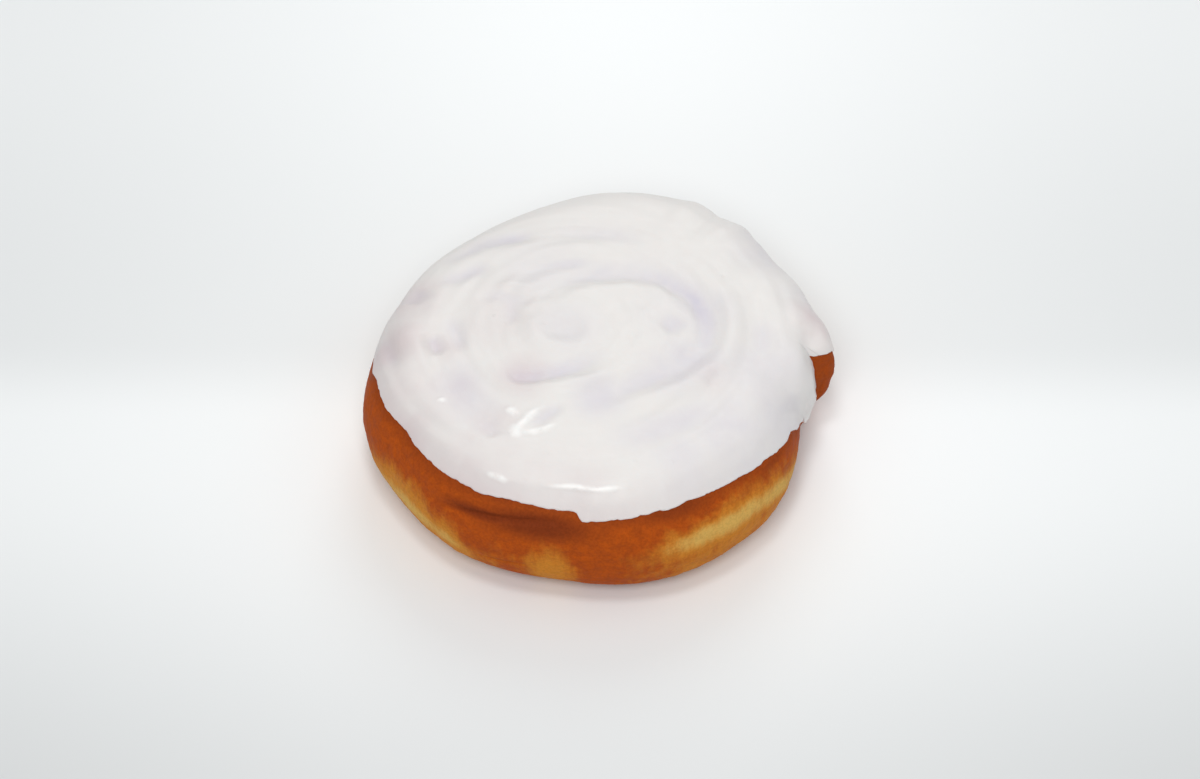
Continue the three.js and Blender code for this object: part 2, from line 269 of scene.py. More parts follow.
# Strokes of the icing: points on the plan, half width, height and lean, in millimetres
ICING_STROKES = (
    (((-15, 11.4), (-9.7, 15.4), (-2.9, 18.5), (4.9, 19.3), (14.6, 18.8), (19.5, 15.1), (22.8, 11),
      (25.1, 5.6), (25.4, -0.4)), 2.9, -0.5, -0.15),
    (((25.4, -0.4), (22.9, -7.1), (16.6, -12.5), (9.5, -16.5), (0, -21), (-6, -23)), 3.2, -0.5, 0.1),
    (((13, 19.2), (19.5, 15.1), (22.8, 11), (25.1, 5.6)), 1.8, -0.45, -0.2),
    (((21.5, 13), (24.6, 7), (25.6, 1), (25.2, -4), (22.5, -9)), 2.7, -0.45, -0.1),
    (((20.3, 6.1), (17.8, 3.2), (13.9, 1.1)), 3.0, -0.4, 0),
    (((-24.7, -12.8), (-17.8, -14.1), (-9.5, -12.7), (-1.9, -8.4), (2.9, -5.8)), 2.4, -0.6, 0),
    (((-22.5, -13.4), (-17.8, -14.1), (-13, -13.9)), 1.7, -0.4, 0),
    (((-14, 0.8), (-8, 0.4), (-2, 0.4)), 2.6, -0.3, 0),
    (((-30, 12.1), (-22.3, 13.1), (-18.4, 11.2), (-15, 11.4)), 1.8, -0.35, 0),
    (((-22, 14), (-21.3, 8), (-21, 2)), 1.8, -0.3, 0),
    (((-40, 18.4), (-34.2, 20.1), (-29.4, 22.7), (-25.5, 23.2)), 1.8, -0.4, 0),
    (((-21, 18), (-13.7, 22.4), (-7, 24), (0, 25.5)), 1.8, -0.35, 0),
    (((-40.5, 1), (-39.8, -2.3), (-37.8, -6.3)), 1.6, -0.6, 0),
    (((-36.5, 7), (-34.5, 1), (-33, -6)), 1.8, -0.35, 0),
    (((-33, 30), (-28.6, 32.1), (-21.7, 33.3), (-15, 34.5)), 2.0, -0.5, 0),
    (((-39, 26), (-33, 29), (-28, 31)), 1.6, -0.3, 0),
    (((-14, 33.5), (0, 34.5), (12, 31.5)), 2.8, -0.25, 0),
    (((-46.5, 12.5), (-44.3, 15), (-42, 17.5)), 2.3, -0.6, 0),
    (((-52, 5), (-50, -3), (-47, -9)), 1.8, -0.4, 0),
    (((-35, -6), (-34, -16), (-29, -24), (-22, -29)), 4.4, -0.5, 0),
    (((29, -11), (27, -14), (24.5, -17)), 1.8, -0.3, 0),
    (((31, -17), (24, -25), (10, -31), (-2, -33)), 4.2, -0.35, 0),
    (((38, 8), (39, -4), (34, -14)), 3.2, -0.3, 0),
    (((48, -9), (43, -19), (36, -27)), 2.4, -0.35, 0),
    (((-16.9, -29.5), (-14.1, -27.5), (-10.6, -24.8), (-8, -22.7)), 1.4, -0.35, 0),
    (((-27, -27), (-25.5, -30), (-24, -33)), 1.8, -0.35, 0),
    (((-46, 10), (-45.5, 2), (-43.5, -7), (-40, -14)), 2.8, 0.7, 0),
    (((-26, -17), (-16, -18), (-6, -17), (2, -13), (10, -8)), 2.3, 0.4, 0),
    (((22, 24), (30, 15), (32, 3), (28.5, -9), (19, -18), (8, -23), (-4, -27)), 2.8, 0.45, 0),
    (((-12, 6), (-16, 3), (-14, -3), (-6, -5.5)), 2.2, 0.3, 0),
    (((-12, 10.5), (-4, 14), (6, 15.5), (13, 14)), 2.5, 0.3, 0),
    (((-30, 27), (-20, 29), (-6, 29.5), (8, 27)), 2.5, 0.3, 0),
    (((-27, 17.5), (-18, 15.5), (-12, 18)), 1.8, 0.25, 0),
)

# Wet ridges: where a spatula was lifted off, and a thin crest along the front of the rim; they carry a
# painted highlight
WET_HIGHLIGHT_RIDGES = (
    (((-20.8, -33.4), (-19.4, -30.7), (-17.4, -27.7), (-14.8, -25.3), (-12, -23.6)), 1.3, 0.45, 0),
    (((-20.3, -32.8), (-16.4, -31.4), (-12.2, -30.2), (-8.7, -28.2)), 1.1, 0.35, 0),
    (((-22.6, -23.2), (-20.9, -24.8), (-19, -27)), 1.1, 0.3, 0),
    (((-20.9, -34.4), (-19.8, -31), (-18.8, -27.5)), 2.0, 0.3, 0),
    (((-37.8, -19.5), (-36.8, -22)), 1.1, 0.35, 0),
    (((-27.7, -40.9), (-24.4, -42.2), (-22, -43.5), (-19.7, -44.2)), 0.7, 0.25, 0),
    (((-15.5, -44), (-12.7, -45.4), (-5.8, -46.2), (-1.8, -46.9), (2.8, -46.7), (6.9, -46.4), (9.9, -47.3)),
     0.7, 0.25, 0),
)

# Strokes and ridges: how they are widened, the share of their length that tapers at each end, what is
# left at the tip, points between two given ones, reach in half widths, and how they fall off across
WET_SPREAD = 1.25
STROKE_SPREAD = 1.35
STROKE_TAPER = 0.4
RIDGE_TAPER = 0.42
STROKE_TIP = 0.08
STROKE_CURVE_STEPS = 5
STROKE_REACH = 4
BUMP_FALL = 1.4
LEAN_FALL = 0.5

# Streaks that a spatula left round the heart: place, width, count round it, height, seed and start
STREAK_CENTRE = np.array([-6.0, 3.0])
STREAK_WIDTH = 2.3
STREAK_ROUND = 2.4
STREAK_HEIGHT = 0.24
STREAK_SEED = 41
STREAK_FROM = 4.0
STREAK_RAMP = 8.0

# Soft waves of the icing: width and height in millimetres, seed; the wide ones are drawn out upward
WIDE_WAVES = ((11, 0.2, 31),)
WIDE_WAVE_SCALE = np.array([1, 1, 0.5])
FINE_WAVES = ((4.5, 0.07, 33), (1.6, 0.015, 35))

# Tints of the icing, partly painted shade: place on the plan, reach, strength
# Rosy: the warm tint of thin icing, and painted shade on the darker left side and in dark hollows
ROSY_PATCHES = (
    ((-46, 13), 9, 0.8),
    ((-52, -2), 13, 0.8),
    ((-48, -24), 17, 0.8),
    ((-34, -42), 16, 0.7),
    ((-18, -14), 7, 0.7),
    ((-26, -29), 7, 0.7),
    ((-10, -50), 14, 0.5),
    ((-38, -4), 6, 0.55),
    ((-24, 6), 12, 0.35),
    ((27, -14), 5, 0.5),
    ((54, 8), 8, 0.9),
)
# Lavender: a cool tint, and painted shade along the grooves
LAVENDER_PATCHES = (
    ((25, 6), 9, 1.0),
    ((22, -8), 9, 0.9),
    ((16, -13), 8, 0.9),
    ((0, -21), 7, 0.9),
    ((40, -10), 14, 0.55),
    ((45, -22), 14, 0.85),
    ((33, -33), 16, 0.85),
    ((20, -38), 12, 0.6),
    ((-15, 23), 12, 0.45),
    ((-8, 0.5), 9, 0.5),
    ((44, 33), 12, 0.7),
    ((54, 17), 10, 0.7),
    ((17, 5), 9, 0.5),
)
PATCH_SPREAD = 1.5

# Pits that bubbles left: places on the plan, radius and depth
PITS = (
    (-4.6, -40.2), (8.1, -40.5), (-27.3, -26.1), (-38, -6), (2.5, 43),
    (17, -40), (-26, 6), (30, 20), (-12, -38.3),
)
PIT_RADIUS = 0.55
PIT_DEPTH = 0.3

# Painted shade and cool tint of the hollows for each millimetre of depth, its most, and how far the edge's
# tint reaches
HOLLOW_SHADE = 0.75
DEEPEST_TINT = 1.5
EDGE_TINT_REACH = 9.0

# How strongly the thin icing near the lower edge is tinted, partly as painted shade on the skirt: azimuth,
# half width and strength
EDGE_TINTS = (
    (215, 75, 0.9),
    (275, 45, 0.45),
    (60, 90, 0.4),
)

# Pale ring round the side: azimuth, level, half height, strength of the pale and of the golden part
PALE_RING = (
    (0, -12, 10, 0.0, 0.0),
    (14, -10, 12, 0.2, 0.2),
    (30, -5, 15, 0.75, 0.5),
    (60, 2, 15, 0.85, 0.5),
    (85, -3, 15, 0.7, 0.4),
    (110, -2, 16, 0.85, 0.5),
    (140, 2, 14, 0.55, 0.4),
    (165, -5, 15, 0.8, 0.5),
    (190, -18, 18, 0.35, 0.5),
    (205, -17, 20, 0.68, 0.88),
    (218, -13, 22, 0.85, 1.0),
    (230, -13, 20, 0.65, 0.8),
    (242, -22, 18, 0.12, 0.35),
    (246, -16, 20, 0.0, 0.12),
    (257, -18, 24, 0.12, 0.78),
    (269, -16, 20, 0.0, 0.1),
    (282, 0, 14, 0.05, 0.25),
    (287, 7, 17, 0.4, 0.4),
    (295, 9, 19, 0.85, 0.6),
    (310, 8, 18, 0.9, 0.65),
    (320, 4, 19, 0.9, 0.6),
    (330, -5, 18, 0.85, 0.5),
    (340, -15, 17, 0.6, 0.4),
    (350, -14, 12, 0.15, 0.15),
    (360, -12, 10, 0.0, 0.0),
)

# The golden part of the ring: how much lower it lies, its spread, fullness, ramp and share under the pale
GOLDEN_BELOW = 6.0
GOLDEN_SPREAD = 2.1
GOLDEN_FULLNESS = 0.6
GOLDEN_RAMP = 20.0
GOLDEN_UNDER_PALE = 0.35

# Places where the side is darker: azimuth and level with their half widths, strength
DARK_PATCHES = (
    (254, 28, 30, 27, 1.0),
    (240, 20, 28, 13, 1.0),
    (290, 26, 42, 20, 0.75),
    (322, 20, 32, 14, 0.6),
    (272, 12, -26, 12, 0.3),
)

# Painted shade under the icing's edge and in the creases, and a darker tail end
UNDER_ICING_DARK = 0.55
UNDER_ICING_RAMP = 20.0
CREASE_DARK_DEPTH = 0.75
TAIL_DARK = 0.47
TAIL_DARK_DEG = 14.0

# Finish of the crust, of the icing and of the floor
CRUST_FINISH = {
    "IOR": 1.42,
    "Specular IOR Level": 0.07,
    "Subsurface Weight": 0.06,
    "Subsurface Scale": 2 * MM,
    "Subsurface Radius": (1.0, 0.5, 0.25),
}
ICING_FINISH = {
    "IOR": 1.45,
    "Specular IOR Level": 0.45,
    "Subsurface Weight": 0.3,
    "Subsurface Scale": 1.2 * MM,
    "Subsurface Radius": (1.0, 0.85, 0.8),
}
FLOOR_FINISH = {"Roughness": 0.9, "Specular IOR Level": 0.1}

# Floor: half width, drop under the roll, and its painted light and shade from the front to the back and
# from the middle to the sides, as from and to in metres with the brightness at each
FLOOR_HALF_WIDTH = 3.0
FLOOR_DROP = 0.05 * MM
FLOOR_PAINTED_LIGHT = (
    (-0.14, 0.005, 0.7, 1.0),
    (0.003, 0.032, 1.04, 0.93),
    (0.035, 0.17, 1.0, 1.12),
)
FLOOR_SIDE_PAINTED_LIGHT = (0.0, 0.17, 1.0, 0.88)

# Soft lights: size and place in metres; the power is the setting of the same name
LIGHTS = {
    "top": (0.15, (-0.03, -0.18, 0.75)),
    "front": (0.4, (-0.05, -0.6, 0.75)),
    "back": (0.5, (0.1, 0.6, 0.6)),
    "right": (0.5, (0.6, 0.1, 0.55)),
}
LIGHT_AIM = Vector((0, 0, 0.02))


# Settings that a user would change


class RollDoughSettings(bpy.types.PropertyGroup):
    """Sizes and colours of the fried dough."""

    fold_depth: bpy.props.FloatProperty(
        name="Fold depth", description="Depth of the valley between the turns",
        default=FOLD_DEPTH * MM, min=0, unit="LENGTH")
    lump_height: bpy.props.FloatProperty(
        name="Lump height", description="Height of the wide uneven lumps of the side",
        default=0.35 * MM, min=0, unit="LENGTH")
    wrinkle_height: bpy.props.FloatProperty(
        name="Wrinkle height", description="Height of the small wrinkles of the crust",
        default=0.09 * MM, min=0, unit="LENGTH")
    brown: bpy.props.FloatVectorProperty(
        name="Brown", description="Main colour of the fried crust",
        default=(0.445, 0.08, 0.0065), size=3, min=0, max=1, subtype="COLOR")
    # The dark brown also paints the shade under the icing's edge and in the creases
    dark: bpy.props.FloatVectorProperty(
        name="Dark brown and painted shade", description="Crust under the icing's edge and in creases",
        default=(0.19, 0.033, 0.0075), size=3, min=0, max=1, subtype="COLOR")
    golden: bpy.props.FloatVectorProperty(
        name="Golden", description="Crust where the brown turns to the pale ring",
        default=(0.56, 0.21, 0.024), size=3, min=0, max=1, subtype="COLOR")
    pale: bpy.props.FloatVectorProperty(
        name="Pale", description="Least fried dough in the pale ring",
        default=(0.63, 0.38, 0.095), size=3, min=0, max=1, subtype="COLOR")


class RollIcingSettings(bpy.types.PropertyGroup):
    """Sizes and colours of the icing."""

    thickness: bpy.props.FloatProperty(
        name="Thickness", description="Thickness of the icing on the top",
        default=1.6 * MM, min=0, unit="LENGTH")
    fold_share: bpy.props.FloatProperty(
        name="Fold share", description="Share of the coil's fold that shows through the icing",
        default=0.12, min=0, max=1, subtype="FACTOR")
    stroke_share: bpy.props.FloatProperty(
        name="Stroke share", description="Strength of the swirled strokes",
        default=2.1, min=0, max=3, subtype="FACTOR")
    ridge_share: bpy.props.FloatProperty(
        name="Ridge share", description="Strength of the thin wet ridges",
        default=1.0, min=0, max=3, subtype="FACTOR")
    # Colour of the painted highlight on the wet ridges
    bright: bpy.props.FloatVectorProperty(
        name="Bright", description="Colour of the wet, bright ridges",
        default=(0.92, 0.92, 0.905), size=3, min=0, max=1, subtype="COLOR")
    white: bpy.props.FloatVectorProperty(
        name="White", description="Main colour of the icing",
        default=(0.76, 0.74, 0.72), size=3, min=0, max=1, subtype="COLOR")
    # In the hollows the lavender paints shade as well as a cool tint
    lavender: bpy.props.FloatVectorProperty(
        name="Lavender", description="Cool tint in the hollows",
        default=(0.60, 0.57, 0.645), size=3, min=0, max=1, subtype="COLOR")
    # The rosy also paints shade on the darker left side, in dark hollows and on the thin skirt
    rosy: bpy.props.FloatVectorProperty(
        name="Rosy", description="Warm tint where the icing is thin",
        default=(0.63, 0.53, 0.54), size=3, min=0, max=1, subtype="COLOR")


class RollStageSettings(bpy.types.PropertyGroup):
    """Camera, floor and lights."""

    camera_elevation: bpy.props.FloatProperty(
        name="Camera elevation", description="Angle of the view above the table",
        default=math.radians(47), subtype="ANGLE")
    camera_lens: bpy.props.FloatProperty(
        name="Lens", description="Focal length in millimetres", default=100, min=10)
    camera_distance: bpy.props.FloatProperty(
        name="Camera distance", description="Distance from the camera to the aim point",
        default=0.815, min=0.1, unit="LENGTH")
    top_power: bpy.props.FloatProperty(
        name="Top light", description="Power of the soft light overhead in watts", default=0.95, min=0)
    front_power: bpy.props.FloatProperty(
        name="Front light", description="Power of the soft light above the camera in watts",
        default=3.45, min=0)
    back_power: bpy.props.FloatProperty(
        name="Back light", description="Power of the soft light behind the roll in watts",
        default=1.55, min=0)
    right_power: bpy.props.FloatProperty(
        name="Right light", description="Power of the soft light on the right in watts",
        default=0.3, min=0)
    sky_strength: bpy.props.FloatProperty(
        name="Surrounding light", description="Strength of the even light all round", default=0.46, min=0)
    floor: bpy.props.FloatVectorProperty(
        name="Floor", description="Colour of the floor",
        default=(0.93, 0.955, 0.96), size=3, min=0, max=1, subtype="COLOR")


# Shape of the roll, in millimetres and degrees


def hump(distance, half):
    """A smooth hump, 1 at the middle and 0 from the half width on."""
    share = np.minimum(np.abs(distance) / half, 1.0)
    return np.cos(share * np.pi / 2) ** 2


def smooth_step(value):
    """0 up to 0, 1 from 1 on, and a smooth rise between."""
    share = np.clip(value, 0.0, 1.0)
    return share * share * (3 - 2 * share)


def lerp(low, high, share):
    """Value that lies a share of the way from low to high."""
    return low + (high - low) * share


def sum_bulges(bulges, angle):
    """Height of all the bulges together at an angle."""
    return sum(rise * hump(angle - at, half) for at, half, rise in bulges)


def table_value(table, column, angle):
    """A smooth value read from a table by azimuth."""
    rows = np.array(table, dtype=float)
    at = rows[:, 0]
    place = np.clip(np.searchsorted(at, angle, side="right") - 1, 0, len(at) - 2)
    share = smooth_step((angle - at[place]) / (at[place + 1] - at[place]))
    return lerp(rows[place, column], rows[place + 1, column], share)


def rim_radius(angle):
    """Radius of the side at its fullest, from the tail end (0) once round to the same place (360)."""
    plain = RIM_RADIUS - RIM_STEP * angle / TURN + sum_bulges(RIM_BULGES, angle)
    corner = np.clip(1 - angle / TAIL_CORNER_DEG, 0, 1)
    return plain - TAIL_CORNER * (1 - np.sqrt(1 - corner ** 2))


def fold_radius(angle):
    """Radius of the fold line at an angle along the coil; it eases in towards the heart's middle."""
    plain = FOLD_START - FOLD_PITCH * angle / TURN + sum_bulges(FOLD_BULGES, angle)
    eased = FOLD_HEART_RADIUS * np.exp(np.minimum(plain / FOLD_HEART_RADIUS - 1, 0))
    return np.where(plain > FOLD_HEART_RADIUS, plain, eased)


def bare_side(angle):
    """Rim, reach and exponent of the dough's rounded side."""
    square = hump(angle, TAIL_SQUARE_DEG)
    reach = lerp(SIDE_REACH, TAIL_SIDE_REACH, square)
    return rim_radius(angle), reach, lerp(SIDE_EXPONENT, TAIL_SIDE_EXPONENT, square)


def iced_side(angle):
    """Rim, reach and exponent of the side under the icing, which fills the step beside the tail end."""
    rim, reach, exponent = bare_side(angle)
    square = hump(angle - TURN, END_SWELLING_DEG)
    rim = rim + END_SWELLING * smooth_step((angle - TURN) / END_SWELLING_DEG + 1)
    over_end = smooth_step((angle - TURN) / END_TURN_DEG + 1)
    end_rim, end_reach, end_exponent = bare_side(np.array(0.0))
    reach = lerp(lerp(reach, END_SIDE_REACH, square), end_reach, over_end)
    exponent = lerp(lerp(exponent, END_SIDE_EXPONENT, square), end_exponent, over_end)
    return lerp(rim, end_rim, over_end), reach, exponent


def rim_line_radius(side):
    """Radius of the line that parts the side from the turns of the top and the underside."""
    rim, reach, exponent = side
    return rim - reach + reach * math.cos(math.radians(RIM_LINE_DEG)) ** (2 / exponent)


def side_drop(side, radius):
    """How far the rounded side has dropped from the top at a radius."""
    rim, reach, exponent = side
    share = np.clip((radius - rim + reach) / reach, 0, 1)
    return HALF_HEIGHT * (1 - (1 - share ** exponent) ** (1 / exponent))


def tail_sink(angle, radius, height):
    """How far the top lies lower at the tail end and on the icing beside it."""
    near = hump(angle, TAIL_SINK_DEG) + hump(angle - TURN, TAIL_SINK_DEG)
    high = smooth_step((height - HALF_HEIGHT) / HALF_HEIGHT)
    return TAIL_SINK * near * high * smooth_step((radius - TAIL_SINK_FROM) / TAIL_SINK_REACH)


def fold_drop(angle, radius, depth, half_width, iced=False):
    """Depth of the valleys between the turns; where icing has filled them they are soft and start later."""
    outer = rim_line_radius(bare_side(angle))
    total = np.zeros_like(radius)
    for turn in range(FOLD_TURNS):
        along = angle + TURN * turn
        line = fold_radius(along)
        inner = fold_radius(along + TURN)
        width = np.where(radius > line, outer - line, line - inner)
        widest = np.maximum(FOLD_TURN_SHARE * width, FOLD_LEAST_HALF_WIDTH)
        share = np.minimum(np.abs(radius - line) / np.clip(half_width, FOLD_LEAST_HALF_WIDTH, widest), 1)
        fade = smooth_step((along - FOLD_FADE_FROM) / (FOLD_END_DEG - FOLD_FADE_FROM))
        narrow = FOLD_TURN_SHARE * np.minimum(outer - line, line - inner) / half_width
        strength = depth * (1 - fade) * smooth_step(narrow)
        if iced:
            valley = hump(share, 1)
            strength = strength * smooth_step((along - ICED_FOLD_FROM) / ICED_FOLD_RAMP)
        else:
            valley = (1 - np.sin(share * np.pi / 2)) ** FOLD_SHARPNESS
        if turn == 0:
            strength = strength * np.where(radius > line, 1, smooth_step(angle / FOLD_TAIL_DEG))
        total = np.hypot(total, strength * valley)
        outer = line
    return total


def shoulder(angle, radius):
    """Side that the dough's shoulder belongs to: inside the first fold it runs on from the coil's end."""
    inside = radius < fold_radius(angle)
    blend = smooth_step(angle / FOLD_TAIL_DEG)
    end = bare_side(np.array(TURN))
    return [np.where(inside, lerp(low, high, blend), high) for low, high in zip(end, bare_side(angle))]


def plan_place(angle, radius):
    """Place on the plan, with the inner turns drawn towards the heart."""
    pull = np.maximum(0, 1 - radius / HEART_REACH) ** 2
    turned = np.radians(angle)
    return HEART[0] * pull + radius * np.cos(turned), HEART[1] * pull + radius * np.sin(turned)


def dome(radius):
    """Rise of the domed top."""
    return DOME_RISE * (1 - np.minimum(radius / DOME_RADIUS, 1) ** 2) ** 2


def tail_lift(angle, level):
    """How far the side is drawn in low down at the tail end, without going into the inner turn."""
    lift = TAIL_LIFT * hump(angle, TAIL_LIFT_DEG) * smooth_step((TAIL_LIFT_FROM - level) / TAIL_LIFT_LEVEL)
    room = rim_radius(angle) - rim_radius(TURN) - TAIL_LEFT_WIDTH
    return np.where(angle > TAIL_LIFT_DEG, lift, np.minimum(lift, room))


def side_place(angle, level, side_of=bare_side):
    """Places on the side at levels of its curve."""
    angle, level = np.broadcast_arrays(angle, level)
    rim, reach, exponent = side_of(angle)
    cosine = np.cos(np.radians(level))
    sine = np.sin(np.radians(level))
    radius = rim - reach + reach * cosine ** (2 / exponent) - tail_lift(angle, level)
    turned = np.radians(angle)
    height = HALF_HEIGHT * (1 + np.sign(sine) * np.abs(sine) ** (2 / exponent))
    height = height + dome(radius) * smooth_step(level / RIM_LINE_DEG)
    height = height - tail_sink(angle, radius, height)
    return np.stack([radius * np.cos(turned), radius * np.sin(turned), height], -1)


def ring_radius(angle, ring, side_of=bare_side):
    """Radius of a ring of the mesh, 0 at the heart and 1 at the line where the side begins."""
    line = rim_line_radius(side_of(angle))
    from_end = np.minimum(angle, TURN - angle) / INNER_RING_BLEND
    inner = lerp(FOLD_START, INNER_RING_REACH * line, smooth_step(from_end))
    outer_share = np.clip((ring - INNER_RINGS) / (1 - INNER_RINGS), 0, 1)
    return inner * np.minimum(ring / INNER_RINGS, 1) + (line - inner) * outer_share


def crowned(angle, radius, drop):
    """Places on the domed top, lowered by a drop."""
    x, y = plan_place(angle, radius)
    dimple = DIMPLE_DEPTH * hump(np.hypot(x - DIMPLE[0], y - DIMPLE[1]), DIMPLE_REACH)
    height = 2 * HALF_HEIGHT - drop + dome(radius) - dimple
    return np.stack([x, y, height - tail_sink(angle, radius, height)], -1)


def iced_top_place(angle, ring, share, side_of=iced_side):
    """Places on the top under the icing, where the folds are filled to soft valleys."""
    angle, ring = np.broadcast_arrays(angle, ring)
    radius = ring_radius(angle, ring, side_of)
    folds = fold_drop(angle, radius, FOLD_DEPTH * share, ICED_FOLD_HALF_WIDTH, iced=True)
    return crowned(angle, radius, side_drop(side_of(angle), radius) + folds)


def top_place(angle, ring, depth, half_width, upward=True):
    """Places on the top, or on the underside, with the coil's folds in it."""
    angle, ring = np.broadcast_arrays(angle, ring)
    radius = ring_radius(angle, ring)
    side = shoulder(angle, radius)
    drop = np.hypot(side_drop(side, radius), fold_drop(angle, radius, depth, half_width))
    if upward:
        return crowned(angle, radius, drop)
    x, y = plan_place(angle, radius)
    outward = smooth_step((ring - INNER_RINGS) / (1 - INNER_RINGS))
    shrink = 1 - tail_lift(angle, -RIM_LINE_DEG) * outward / np.maximum(radius, 1)
    return np.stack([x * shrink, y * shrink, drop], -1)


def lattice_noise(places, cell, seed):
    """Smooth noise from -1 to 1 over places, with lumps about as wide as the cell."""
    size = NOISE_CELLS
    table = np.random.default_rng(seed).uniform(-1, 1, (size, size, size))
    scaled = places / cell + NOISE_SHIFT * size
    base = np.floor(scaled).astype(int)
    share = smooth_step(scaled - base)
    total = 0.0
    for corner in itertools.product((0, 1), repeat=3):
        weight = 1.0
        for axis, step in enumerate(corner):
            weight = weight * (share[..., axis] if step else 1 - share[..., axis])
        x, y, z = [(base[..., axis] + step) % size for axis, step in enumerate(corner)]
        total = total + weight * table[x, y, z]
    return total


def layered_noise(places, layers):
    """Noise of several widths, each with its own height."""
    return sum(height * lattice_noise(places, cell, seed) for cell, height, seed in layers)


def column_angles(count, closed=False):
    """Azimuths of the mesh's columns; the count is that of the wide span between the close ones."""
    middle = (FIRST_COLUMNS[-1][1], LAST_COLUMNS[0][0], count)
    spans = (*FIRST_COLUMNS, middle, *LAST_COLUMNS)
    angles = np.concatenate([np.linspace(*span, endpoint=False) for span in spans])
    return (angles if closed else np.append(angles, TURN))[None, :]


def with_end_face(place, angles, rows):
    """Places on the plain columns, then those of the end face between the inner and the outer turn."""
    shares = np.linspace(0, 1, END_FACE_COLUMNS + 2)[None, 1:-1]
    inner = place(np.full_like(shares, TURN), rows)
    outer = place(np.zeros_like(shares), rows)
    face = lerp(inner, outer, shares[..., None])
    width = np.linalg.norm(outer - inner, axis=-1)
    face[..., 1] -= END_FACE_BULGE * width * np.sin(shares * np.pi) ** END_FACE_FULLNESS
    return np.concatenate([place(angles, rows), face], axis=1)


def grid_normals(places):
    """Outward directions of a grid whose rows run up the side and whose columns run round it."""
    along = np.roll(places, -1, axis=1) - np.roll(places, 1, axis=1)
    across = np.gradient(places, axis=0)
    normals = np.cross(along, across)
    length = np.linalg.norm(normals, axis=-1, keepdims=True)
    normals = np.where(length > TINY, normals / np.maximum(length, TINY), [0.0, 0.0, 1.0])
    for _ in range(NORMAL_PASSES):
        normals = normals + 0.5 * (np.roll(normals, 1, axis=1) + np.roll(normals, -1, axis=1))
        normals /= np.linalg.norm(normals, axis=-1, keepdims=True)
    return normals


# Meshes


def grid_mesh(name, places, shades):
    """Mesh of rings round the roll, in millimetres; the first and the last are drawn to a point."""
    for row in (0, -1):
        places[row] = places[row].mean(axis=0)
    rows, columns = places.shape[:2]
    index = np.arange(rows * columns).reshape(rows, columns)
    low, high = index[:-1], index[1:]
    faces = np.stack([low, np.roll(low, -1, axis=1), np.roll(high, -1, axis=1), high], -1).reshape(-1, 4)
    points = ((places - PLACE) * MM).reshape(-1, 3)
    mesh = bpy.data.meshes.new(name)
    mesh.from_pydata(points.tolist(), [], faces.tolist())
    for shade, values in shades.items():
        attribute = mesh.attributes.new(shade, "FLOAT", "POINT")
        attribute.data.foreach_set("value", np.ascontiguousarray(values, dtype=np.float32).ravel())
    thing = bpy.data.objects.new(name, mesh)
    bpy.context.scene.collection.objects.link(thing)
    weld(mesh)
    mesh.shade_smooth()
    return thing


def weld(mesh):
    """Joins the corners that lie on one another, at the two ends of the grid and inside the tail."""
    work = bmesh.new()
    work.from_mesh(mesh)
    bmesh.ops.remove_doubles(work, verts=work.verts, dist=WELD_DISTANCE)
    bmesh.ops.dissolve_degenerate(work, edges=work.edges, dist=THINNEST_FACE)
    bmesh.ops.recalc_face_normals(work, faces=work.faces)
    work.to_mesh(mesh)
    work.free()


def side_dent(angle, level):
    """Depth of the creases on the side."""
    total = np.zeros_like(angle * level)
    for at, half, centre, half_level, rise, depth in SIDE_CREASES:
        distance = angle - at
        line = centre + rise * np.clip(distance / half, -1, 1)
        total += depth * hump(distance, half) ** CREASE_FULLNESS * hump(level - line, half_level)
    return total


def dough_grid(settings):
    """Places of the dough from the underside's middle up to the top's, with azimuth and level of each."""
    angles = column_angles(DOUGH_COLUMNS)
    depth = settings.fold_depth / MM
    rings = np.linspace(0, 1, DOUGH_RINGS, endpoint=False)[:, None]
    level = np.linspace(-RIM_LINE_DEG, RIM_LINE_DEG, DOUGH_SIDE_ROWS)[:, None]

    def underside(angle, ring):
        return top_place(
            angle, ring, depth * UNDERSIDE_FOLD_SHARE, UNDERSIDE_FOLD_HALF_WIDTH, upward=False)

    def top(angle, ring):
        return top_place(angle, ring, depth, FOLD_HALF_WIDTH)

    places = np.concatenate([
        with_end_face(underside, angles, rings),
        with_end_face(side_place, angles, level),
        with_end_face(top, angles, rings[::-1]),
    ])
    azimuth = np.append(angles, np.zeros(END_FACE_COLUMNS))[None, :]
    levels = np.concatenate([np.full_like(rings, -TOP_LEVEL), level, np.full_like(rings, TOP_LEVEL)])
    azimuth, levels = np.broadcast_arrays(azimuth, levels)
    return places, azimuth, levels


def roughened_dough(places, azimuth, levels, settings):
    """The dough's places with creases, and with lumps and wrinkles where the crust shows."""
    lumps = settings.lump_height / MM * layered_noise(places, LUMPS)
    wrinkles = settings.wrinkle_height / MM * layered_noise(places, WRINKLES)
    to_end = icing_edge(azimuth) + ROUGH_PAST_EDGE - levels
    rough = smooth_step((levels - ROUGH_FROM) / ROUGH_RAMP) * smooth_step(to_end / ROUGH_END_RAMP)
    height = (lumps + wrinkles) * rough - side_dent(azimuth, levels)
    moved = places + grid_normals(places) * height[..., None]
    moved[..., 2] = np.maximum(moved[..., 2], 0)
    return moved


def pale_shares(azimuth, levels):
    """How pale and how golden the crust is at places on the side, 0 to 1."""
    level, half, strength, golden = [table_value(PALE_RING, column, azimuth) for column in (1, 2, 3, 4)]
    pale = strength * hump(levels - level, half)
    around_ring = hump(levels - level + GOLDEN_BELOW, half * GOLDEN_SPREAD) ** GOLDEN_FULLNESS
    below = smooth_step((level - levels) / GOLDEN_RAMP)
    golden = golden * np.maximum(around_ring, below) + GOLDEN_UNDER_PALE * pale
    return pale, np.clip(golden, 0, 1)


